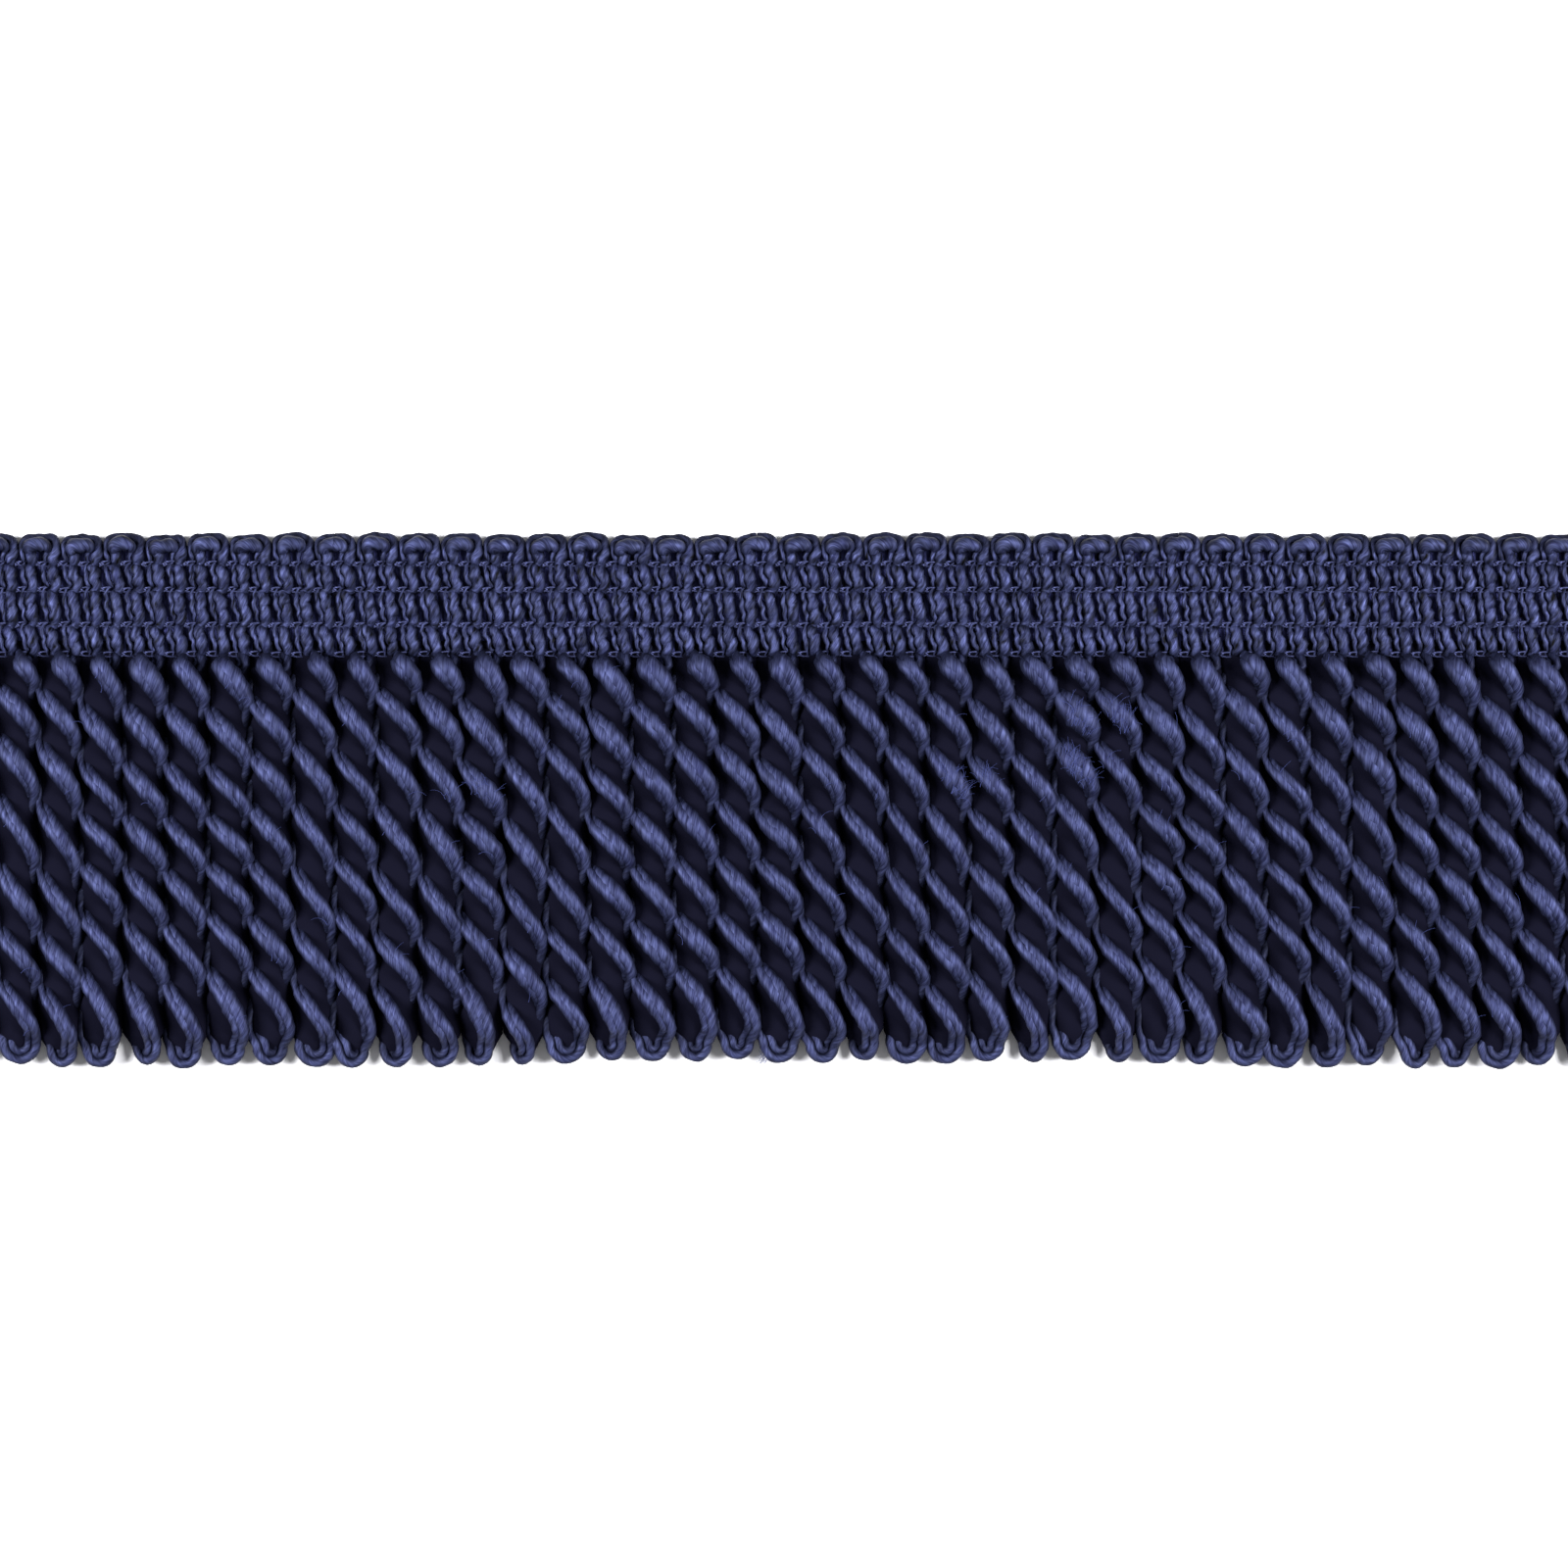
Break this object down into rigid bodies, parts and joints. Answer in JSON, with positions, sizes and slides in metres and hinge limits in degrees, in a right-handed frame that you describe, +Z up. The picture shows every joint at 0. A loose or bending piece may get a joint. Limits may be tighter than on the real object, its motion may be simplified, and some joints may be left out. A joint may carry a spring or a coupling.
{
  "type": "bullion fringe trim",
  "caption": "Flat cut length of fringe trim with a scalloped chain-stitched heading and a skirt of thick twisted looped cords.",
  "frame": {"origin": "under the middle of the trim's outline, on the surface it lies on", "axes": "+X along the trim's length, +Y from the cords' loops to the scalloped edge, +Z up from the back to the right side"},
  "size_m": [0.1948, 0.06, 0.0042],
  "materials": {
    "heading_yarn": "soft satin",
    "cord_yarn": "satin"
  },
  "bodies": {
    "root": {"heading": "heading_yarn", "bullion_skirt": "cord_yarn"}
  },
  "joints": []
}
